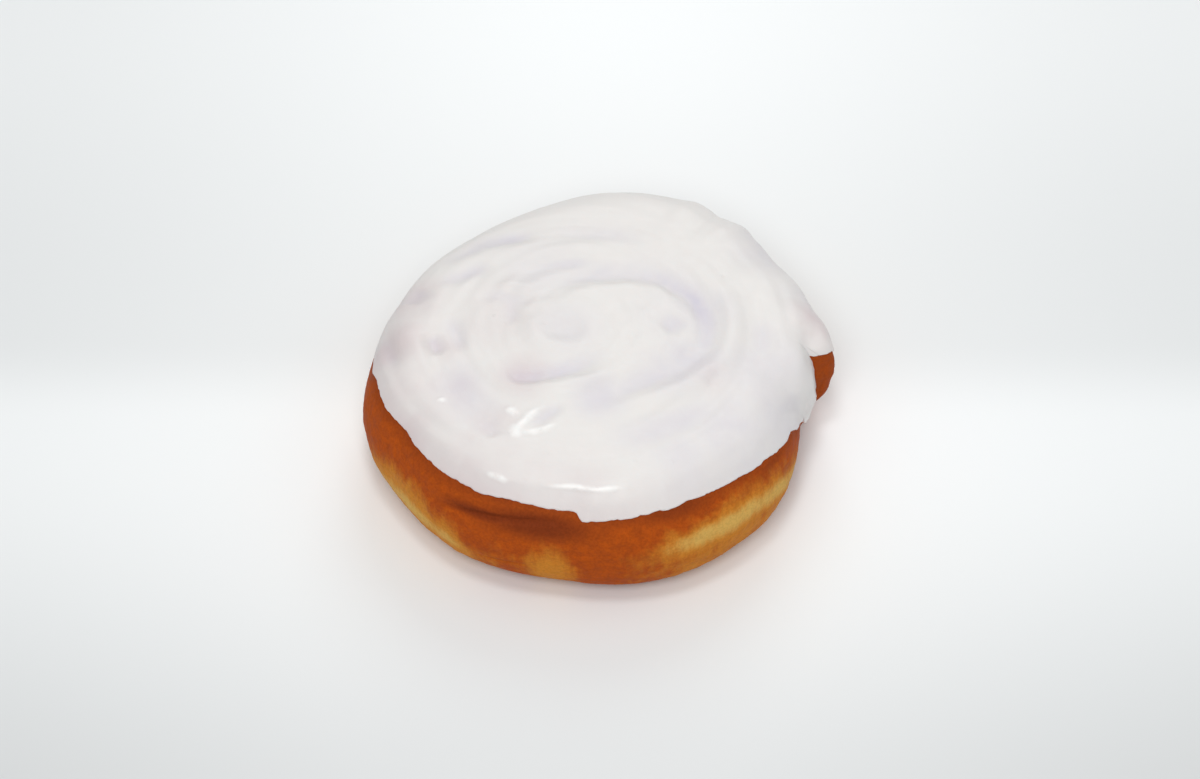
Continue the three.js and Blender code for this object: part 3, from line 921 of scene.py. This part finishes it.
def dough_shades(azimuth, levels):
    """How pale, how golden and how dark the crust is at places on the side, 0 to 1, with painted shade
    under the icing's edge and in creases.
    """
    pale, golden = pale_shares(azimuth, levels)
    # Painted shade under the icing's overhanging edge and in the creases
    to_edge = (icing_edge(azimuth) - levels) / UNDER_ICING_RAMP
    dark = UNDER_ICING_DARK * smooth_step(1 - to_edge) * (levels < TOP_LEVEL)
    dark = np.maximum(dark, side_dent(azimuth, levels) / CREASE_DARK_DEPTH)
    dark = np.maximum(dark, TAIL_DARK * hump(azimuth, TAIL_DARK_DEG))
    for at, half, level, half_level, strength in DARK_PATCHES:
        dark = np.maximum(dark, strength * hump(azimuth - at, half) * hump(levels - level, half_level))
    return {"paleness": pale, "goldenness": golden, "darkening": np.clip(dark, 0, 1)}


def icing_edge(angle):
    """Level of the icing's lower edge on the side, in degrees of the side's curve."""
    return table_value(EDGE_LEVELS, 1, np.asarray(angle))


def curve_through(points):
    """Points of a smooth curve through the given ones."""
    points = np.array([points[0], *points, points[-1]], dtype=float)
    curve = []
    for a, b, c, d in zip(points, points[1:], points[2:], points[3:]):
        for step in range(STROKE_CURVE_STEPS):
            t = step / STROKE_CURVE_STEPS
            bend = (2 * a - 5 * b + 4 * c - d) * t ** 2 + (3 * b - a - 3 * c + d) * t ** 3
            curve.append(0.5 * (2 * b + (c - a) * t + bend))
    return np.array(curve + [points[-1]])


def stroke_shape(x, y, points, half_width, taper_share):
    """Taper along one stroke and distance across it, to the left or the right of its line."""
    curve = curve_through(points)
    lengths = np.linalg.norm(np.diff(curve, axis=0), axis=1)
    starts = np.concatenate([[0], np.cumsum(lengths)])
    nearest = np.full(x.shape, np.inf)
    side = np.zeros_like(x)
    along = np.zeros_like(x)
    for start, end, length, at in zip(curve, curve[1:], lengths, starts):
        ahead = (end - start) / length
        run = np.clip((x - start[0]) * ahead[0] + (y - start[1]) * ahead[1], 0, length)
        dx = x - start[0] - run * ahead[0]
        dy = y - start[1] - run * ahead[1]
        distance = np.hypot(dx, dy)
        closer = distance < nearest
        nearest = np.where(closer, distance, nearest)
        side = np.where(closer, np.sign(ahead[0] * dy - ahead[1] * dx), side)
        along = np.where(closer, (at + run) / starts[-1], along)
    taper = smooth_step(np.minimum(along, 1 - along) / taper_share + STROKE_TIP)
    return taper, side * nearest / half_width


def stroke_relief(x, y, strokes, spread, taper_share):
    """Height of the strokes over places on the plan, and how wet the icing is beside them, which also sets
    a painted highlight.
    """
    total = np.zeros_like(x)
    wet = np.zeros_like(x)
    for points, half_width, height, lean in strokes:
        points = np.array(points, dtype=float)
        reach = STROKE_REACH * half_width * spread
        low, high = points.min(axis=0) - reach, points.max(axis=0) + reach
        near = (x > low[0]) & (x < high[0]) & (y > low[1]) & (y < high[1])
        taper, share = stroke_shape(x[near], y[near], points, half_width * spread, taper_share)
        bump = height * np.exp(-BUMP_FALL * share ** 2)
        step = lean * share * np.exp(-LEAN_FALL * share ** 2)
        total[near] += taper * (bump + step)
        wet[near] = np.maximum(wet[near], taper * np.exp(-(share / WET_SPREAD) ** 2))
    return total, wet


def streaks(x, y):
    """Faint streaks that run round the heart."""
    dx, dy = x - STREAK_CENTRE[0], y - STREAK_CENTRE[1]
    away = np.hypot(dx, dy)
    turned = np.arctan2(dy, dx)
    places = np.stack([
        STREAK_ROUND * np.cos(turned), STREAK_ROUND * np.sin(turned), away / STREAK_WIDTH], -1)
    started = smooth_step((away - STREAK_FROM) / STREAK_RAMP)
    return STREAK_HEIGHT * lattice_noise(places, 1, STREAK_SEED) * started


def patch_share(x, y, patches):
    """Strength of a tint over places on the plan."""
    share = np.zeros_like(x)
    for (px, py), reach, strength in patches:
        share = np.maximum(share, strength * hump(np.hypot(x - px, y - py), reach * PATCH_SPREAD))
    return share


def edge_distance(places):
    """Distance of every place from the icing's lower edge, which is the first row."""
    edge = places[0]
    return np.stack([np.linalg.norm(row[:, None] - edge[None], axis=-1).min(axis=1) for row in places])


def icing_layers(settings):
    """Grids of the surface that the icing lies on and of the bare dough, from its edge up to the heart."""
    angles = column_angles(ICING_COLUMNS, closed=True)
    ragged = layered_noise(side_place(angles, EDGE_NOISE_LEVEL, iced_side), EDGE_NOISE)
    from_end = np.minimum(angles, TURN - angles)
    edge = icing_edge(angles) + ragged * smooth_step(from_end / EDGE_NOISE_FROM)
    skirt = 1 - np.cos(np.linspace(0, np.pi / 2, ICING_SKIRT_ROWS, endpoint=False))
    levels = lerp(edge, RIM_LINE_DEG, skirt[:, None])
    rings = np.linspace(1, 0, ICING_RINGS)[:, None]
    base, bare = [
        np.concatenate([
            side_place(angles, levels, side_of),
            iced_top_place(angles, rings, settings.fold_share, side_of),
        ]) for side_of in (iced_side, bare_side)]
    return angles, base, bare


def icing_relief(base, settings):
    """Height of the icing's strokes, height of its whole relief, and how wet it is, which also sets a
    painted highlight.
    """
    x, y = base[..., 0], base[..., 1]
    strokes = settings.stroke_share * stroke_relief(x, y, ICING_STROKES, STROKE_SPREAD, STROKE_TAPER)[0]
    ridges, wet = stroke_relief(x, y, WET_HIGHLIGHT_RIDGES, 1.0, RIDGE_TAPER)
    waves = layered_noise(base * WIDE_WAVE_SCALE, WIDE_WAVES) + layered_noise(base, FINE_WAVES)
    pits = sum(hump(np.hypot(x - px, y - py), PIT_RADIUS) for px, py in PITS)
    relief = strokes + settings.ridge_share * ridges + streaks(x, y) + waves - PIT_DEPTH * pits
    lowest = DEEPEST_SHARE * settings.thickness / MM
    return strokes, np.where(relief < 0, lowest * np.tanh(relief / lowest), relief), wet


def icing_grid(settings):
    """Places of the icing from the heart out to its edge and back inside, with their shades."""
    angles, base, bare = icing_layers(settings)
    normals = grid_normals(base)
    from_edge = edge_distance(base)
    from_middle = np.hypot(base[..., 0], base[..., 1])
    lobes = sum_bulges(ICING_LOBES, angles) + sum_bulges(ICING_LOBES, angles + TURN)
    full = settings.thickness / MM + lobes * smooth_step((from_middle - LOBE_FROM) / LOBE_RAMP)
    lip = np.sqrt(1 - (1 - np.clip(from_edge / EDGE_LIP, 0, 1)) ** 2)
    thickness = lip * lerp(EDGE_THICKNESS, full, smooth_step(from_edge / EDGE_GROWTH))
    strokes, relief, wet = icing_relief(base, settings)
    height = thickness + relief * smooth_step(from_edge / RELIEF_GROWTH)
    outer = base + normals * height[..., None]

    inner_rows = list(ICING_INNER_ROWS)
    inner = bare[inner_rows] + normals[inner_rows] * UNDER_ICING
    places = np.concatenate([outer[::-1], inner])
    edge_tint_and_shade = sum_bulges(EDGE_TINTS, angles) * (1 - np.clip(from_edge / EDGE_TINT_REACH, 0, 1))

    def outer_shade(values):
        return np.concatenate([values[::-1], np.zeros(inner.shape[:2])])

    shades = {
        "hollow": outer_shade(np.clip(-HOLLOW_SHADE * strokes, 0, DEEPEST_TINT)),
        "rosiness": patch_share(places[..., 0], places[..., 1], ROSY_PATCHES),
        "coolness": patch_share(places[..., 0], places[..., 1], LAVENDER_PATCHES),
        "wetness": outer_shade(wet),
        "edge": outer_shade(edge_tint_and_shade),
    }
    return places, shades


# Materials


def add_node(tree, kind, settings=None, inputs=None):
    """Adds a shader node; inputs are values or the outputs that feed them."""
    node = tree.nodes.new(kind)
    for name, value in (settings or {}).items():
        setattr(node, name, value)
    for name, value in (inputs or {}).items():
        if isinstance(value, bpy.types.NodeSocket):
            tree.links.new(value, node.inputs[name])
        else:
            node.inputs[name].default_value = value
    return node


def colour(values):
    """Colour with the opacity that a shader's socket wants."""
    return (*values, 1.0)


def noise_value(tree, place, scale, detail=2.0, roughness=0.5):
    return add_node(tree, "ShaderNodeTexNoise", inputs={
        "Vector": place, "Scale": scale, "Detail": detail, "Roughness": roughness}).outputs["Fac"]


def mix_colours(tree, share, low, high, blend="MIX"):
    """Colour that lies a share of the way from low to high, or their product."""
    inputs = {0: share, 6: low, 7: high}
    return add_node(tree, "ShaderNodeMix", {"data_type": "RGBA", "blend_type": blend}, inputs).outputs[2]


def math_value(tree, operation, *values):
    """Result of an operation on two or more values, taken in turn."""
    result = values[0]
    for value in values[1:]:
        node = add_node(tree, "ShaderNodeMath", {"operation": operation}, {0: result, 1: value})
        result = node.outputs[0]
    return result


def ranged(tree, value, low, high, to_low=0.0, to_high=1.0):
    """Value eased from one range to another."""
    return add_node(tree, "ShaderNodeMapRange", {"interpolation_type": "SMOOTHSTEP"}, {
        "Value": value, "From Min": low, "From Max": high, "To Min": to_low, "To Max": to_high}).outputs[0]


def swing(tree, noise, size):
    """Noise as a value that swings by the size to either side of 0."""
    return ranged(tree, noise, 0.25, 0.75, -size, size)


def grey(tree, value):
    inputs = {"Red": value, "Green": value, "Blue": value}
    return add_node(tree, "ShaderNodeCombineColor", inputs=inputs).outputs[0]


def shade_value(tree, name):
    """Shade that the mesh carries in each of its corners."""
    return add_node(tree, "ShaderNodeAttribute", {"attribute_name": name}).outputs["Fac"]


def new_material(name):
    """Material with its tree, its shader and the place on the piece that the noises read."""
    material = bpy.data.materials.new(name)
    material.use_nodes = True
    tree = material.node_tree
    shader = tree.nodes["Principled BSDF"]
    place = add_node(tree, "ShaderNodeTexCoord").outputs["Object"]
    return material, tree, shader, place


def set_finish(shader, finish):
    for name, value in finish.items():
        shader.inputs[name].default_value = value


def bumped(tree, height, strength, distance, normal=None):
    """Direction of the surface with fine relief added."""
    inputs = {"Height": height, "Strength": strength, "Distance": distance}
    if normal is not None:
        inputs["Normal"] = normal
    return add_node(tree, "ShaderNodeBump", inputs=inputs).outputs["Normal"]


def crust_material(settings):
    """Fried crust: brown with soft pale, golden and dark patches, finely pebbled, with painted shade under
    the icing's edge and in creases.
    """
    material, tree, shader, place = new_material("fried_crust")
    upright = add_node(tree, "ShaderNodeMapping", inputs={"Vector": place, "Scale": (1.0, 1.0, 0.22)})
    blotches = noise_value(tree, place, scale=95, detail=3, roughness=0.6)
    mottle = noise_value(tree, place, scale=420, detail=4, roughness=0.65)
    streaky = noise_value(tree, upright.outputs[0], scale=620, detail=3, roughness=0.6)
    grain = noise_value(tree, place, scale=1500, detail=3, roughness=0.6)
    pebbles = add_node(tree, "ShaderNodeTexVoronoi", {"feature": "SMOOTH_F1"}, {
        "Vector": place, "Scale": 900.0, "Smoothness": 0.6}).outputs["Distance"]

    fine = swing(tree, mottle, 0.06)
    wander = math_value(tree, "ADD", swing(tree, blotches, 0.16), fine, swing(tree, streaky, 0.1))
    golden_share = math_value(tree, "ADD", shade_value(tree, "goldenness"), wander)
    pale_share = math_value(tree, "ADD", shade_value(tree, "paleness"), wander)
    dark_share = math_value(tree, "ADD", shade_value(tree, "darkening"), fine)

    dark = colour(settings.dark)
    base = mix_colours(tree, ranged(tree, mottle, 0.3, 0.72, 0.6, 1.0), dark, colour(settings.brown))
    base = mix_colours(tree, ranged(tree, golden_share, 0.1, 0.8), base, colour(settings.golden))
    base = mix_colours(tree, ranged(tree, pale_share, 0.3, 0.95), base, colour(settings.pale))
    # Painted shade under the icing's edge and in creases, with the darker patches and the darker tail end
    base = mix_colours(tree, ranged(tree, dark_share, 0.1, 1.0, 0, 0.97), base, dark)
    specks = grey(tree, ranged(tree, grain, 0.36, 0.6, 0.9, 1.05))
    base = mix_colours(tree, 1.0, base, specks, "MULTIPLY")
    tree.links.new(base, shader.inputs["Base Color"])

    tree.links.new(ranged(tree, mottle, 0.3, 0.75, 0.55, 0.75), shader.inputs["Roughness"])
    set_finish(shader, CRUST_FINISH)
    normal = bumped(tree, mottle, 0.5, 0.25 * MM)
    normal = bumped(tree, pebbles, 0.35, 0.12 * MM, normal)
    normal = bumped(tree, grain, 0.4, 0.07 * MM, normal)
    tree.links.new(normal, shader.inputs["Normal"])
    return material


def icing_material(settings):
    """Sugar icing: white and slightly translucent, cool in its hollows and rosy where it is thin; these
    tints also paint shade, and the wet ridges carry a painted highlight.
    """
    material, tree, shader, place = new_material("white_icing")
    clouds = noise_value(tree, place, scale=70, detail=3, roughness=0.55)
    ripple = noise_value(tree, place, scale=330, detail=3)
    fine = noise_value(tree, place, scale=1400)
    wetness = shade_value(tree, "wetness")

    def clouded(name, low, high, to_low, to_high):
        thinned = ranged(tree, clouds, low, high, to_low, to_high)
        return math_value(tree, "MULTIPLY", shade_value(tree, name), thinned)

    # The cool and rosy tints are partly painted shade
    cool = math_value(tree, "MULTIPLY", clouded("coolness", 0.7, 0.3, 0.35, 1.0), 0.6)
    # Painted shade in the hollows, partly the cool tint of the thinner icing there
    cool = math_value(tree, "MAXIMUM", cool, clouded("hollow", 0.3, 0.7, 0.35, 0.8))
    rosy = math_value(tree, "MULTIPLY", clouded("rosiness", 0.3, 0.7, 0.35, 1.0), 0.88)
    # Rosy tint of the thin skirt near the edge, partly painted shade
    rosy = math_value(tree, "MAXIMUM", rosy, clouded("edge", 0.25, 0.75, 0.5, 1.0))
    # Painted highlight: the wet ridges are mixed towards a bright white
    bright = math_value(tree, "MULTIPLY", wetness, ranged(tree, ripple, 0.3, 0.7, 0.6, 1.0))
    base = mix_colours(tree, cool, colour(settings.white), colour(settings.lavender))
    base = mix_colours(tree, rosy, base, colour(settings.rosy))
    base = mix_colours(tree, ranged(tree, bright, 0.25, 1.0, 0, 0.7), base, colour(settings.bright))
    tree.links.new(base, shader.inputs["Base Color"])

    dry = ranged(tree, ripple, 0.3, 0.7, 0.42, 0.56)
    wet = ranged(tree, ranged(tree, wetness, 0.1, 0.8), 0, 1, 1.0, 0.62)
    tree.links.new(math_value(tree, "MULTIPLY", dry, wet), shader.inputs["Roughness"])
    set_finish(shader, ICING_FINISH)
    normal = bumped(tree, ripple, 0.22, 0.3 * MM)
    normal = bumped(tree, fine, 0.12, 0.05 * MM, normal)
    tree.links.new(normal, shader.inputs["Normal"])
    return material


def floor_material(settings):
    """Pale studio floor with painted light: it fades a little from the back to the front and towards the
    sides.
    """
    material, tree, shader, place = new_material("pale_floor")
    parts = add_node(tree, "ShaderNodeSeparateXYZ", inputs={0: place}).outputs
    across = math_value(tree, "ABSOLUTE", parts["X"], 0.0)
    clouds = noise_value(tree, place, scale=3)
    # Painted light and shade: brighter at the back, darker towards the front and the sides
    shares = [ranged(tree, parts["Y"], *fade) for fade in FLOOR_PAINTED_LIGHT]
    shares.append(ranged(tree, across, *FLOOR_SIDE_PAINTED_LIGHT))
    shares.append(ranged(tree, clouds, 0.3, 0.7, 0.985, 1.0))
    brightness = grey(tree, math_value(tree, "MULTIPLY", *shares))
    base = mix_colours(tree, 1.0, colour(settings.floor), brightness, "MULTIPLY")
    tree.links.new(base, shader.inputs["Base Color"])
    set_finish(shader, FLOOR_FINISH)
    return material


# Operators


class ROLL_OT_dough(bpy.types.Operator):
    """Build the coiled, fried dough"""

    bl_idname = "roll.dough"
    bl_label = "Dough"

    def execute(self, context):
        settings = context.scene.roll_dough
        places, azimuth, levels = dough_grid(settings)
        places = roughened_dough(places, azimuth, levels, settings)
        dough = grid_mesh("fried_dough", places, dough_shades(azimuth, levels))
        dough.data.materials.append(crust_material(settings))
        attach(dough, "root")
        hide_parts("dough")
        return {"FINISHED"}


class ROLL_OT_icing(bpy.types.Operator):
    """Build the layer of swirled icing"""

    bl_idname = "roll.icing"
    bl_label = "Icing"

    def execute(self, context):
        settings = context.scene.roll_icing
        places, shades = icing_grid(settings)
        icing = grid_mesh("swirled_icing", places, shades)
        icing.data.materials.append(icing_material(settings))
        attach(icing, "root")
        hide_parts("icing")
        return {"FINISHED"}


class ROLL_OT_stage(bpy.types.Operator):
    """Set up the pale floor, the soft lights and the camera"""

    bl_idname = "roll.stage"
    bl_label = "Stage"

    def execute(self, context):
        settings = context.scene.roll_stage
        add_floor(settings)
        add_lights(context.scene, settings)
        add_camera(context.scene, settings)
        context.scene.view_settings.view_transform = "Standard"
        context.scene.view_settings.look = "None"
        return {"FINISHED"}


def add_floor(settings):
    half = FLOOR_HALF_WIDTH
    corners = [(-half, -half, 0), (half, -half, 0), (half, half, 0), (-half, half, 0)]
    mesh = bpy.data.meshes.new("floor")
    mesh.from_pydata(corners, [], [(0, 1, 2, 3)])
    floor = bpy.data.objects.new("floor", mesh)
    floor.location.z = -FLOOR_DROP
    bpy.context.scene.collection.objects.link(floor)
    mesh.materials.append(floor_material(settings))


def add_lights(scene, settings):
    for name, (size, place) in LIGHTS.items():
        light = bpy.data.lights.new(name + "_light", "AREA")
        light.shape = "DISK"
        light.energy = getattr(settings, name + "_power")
        light.size = size
        lamp = bpy.data.objects.new(name + "_light", light)
        lamp.location = place
        lamp.rotation_euler = (LIGHT_AIM - Vector(place)).to_track_quat("-Z", "Y").to_euler()
        scene.collection.objects.link(lamp)
    world = bpy.data.worlds.new("even_light")
    world.use_nodes = True
    background = world.node_tree.nodes["Background"]
    background.inputs["Color"].default_value = (1, 1, 1, 1)
    background.inputs["Strength"].default_value = settings.sky_strength
    scene.world = world


def add_camera(scene, settings):
    camera = bpy.data.cameras.new("photo_camera")
    camera.sensor_width = 36
    camera.lens = settings.camera_lens
    elevation = settings.camera_elevation
    back = Vector((0, -math.cos(elevation), math.sin(elevation)))
    aim = Vector((-PLACE[0] * MM, -PLACE[1] * MM, HALF_HEIGHT * MM))
    thing = bpy.data.objects.new("photo_camera", camera)
    thing.location = aim + back * settings.camera_distance
    thing.rotation_euler = (-back).to_track_quat("-Z", "Y").to_euler()
    camera.clip_start = 0.05
    camera.clip_end = 20
    scene.collection.objects.link(thing)
    scene.camera = thing


class ROLL_PT_panel(bpy.types.Panel):
    """Lists the roll's steps in the sidebar"""

    bl_label = "Cinnamon roll"
    bl_idname = "ROLL_PT_panel"
    bl_space_type = "VIEW_3D"
    bl_region_type = "UI"
    bl_category = "Roll"

    def draw(self, context):
        layout = self.layout
        for operator, settings in (
            (ROLL_OT_dough, context.scene.roll_dough),
            (ROLL_OT_icing, context.scene.roll_icing),
            (ROLL_OT_stage, context.scene.roll_stage),
        ):
            box = layout.box()
            box.operator(operator.bl_idname)
            for name in settings.__annotations__:
                box.prop(settings, name)


CLASSES = (
    RollDoughSettings,
    RollIcingSettings,
    RollStageSettings,
    ROLL_OT_dough,
    ROLL_OT_icing,
    ROLL_OT_stage,
    ROLL_PT_panel,
)


def register():
    for item in CLASSES:
        bpy.utils.register_class(item)
    bpy.types.Scene.roll_dough = bpy.props.PointerProperty(type=RollDoughSettings)
    bpy.types.Scene.roll_icing = bpy.props.PointerProperty(type=RollIcingSettings)
    bpy.types.Scene.roll_stage = bpy.props.PointerProperty(type=RollStageSettings)


def unregister():
    del bpy.types.Scene.roll_stage
    del bpy.types.Scene.roll_icing
    del bpy.types.Scene.roll_dough
    for item in reversed(CLASSES):
        bpy.utils.unregister_class(item)


def main():
    register()
    bpy.ops.roll.dough()
    bpy.ops.roll.icing()
    bpy.ops.roll.stage()


if __name__ == "__main__":
    main()
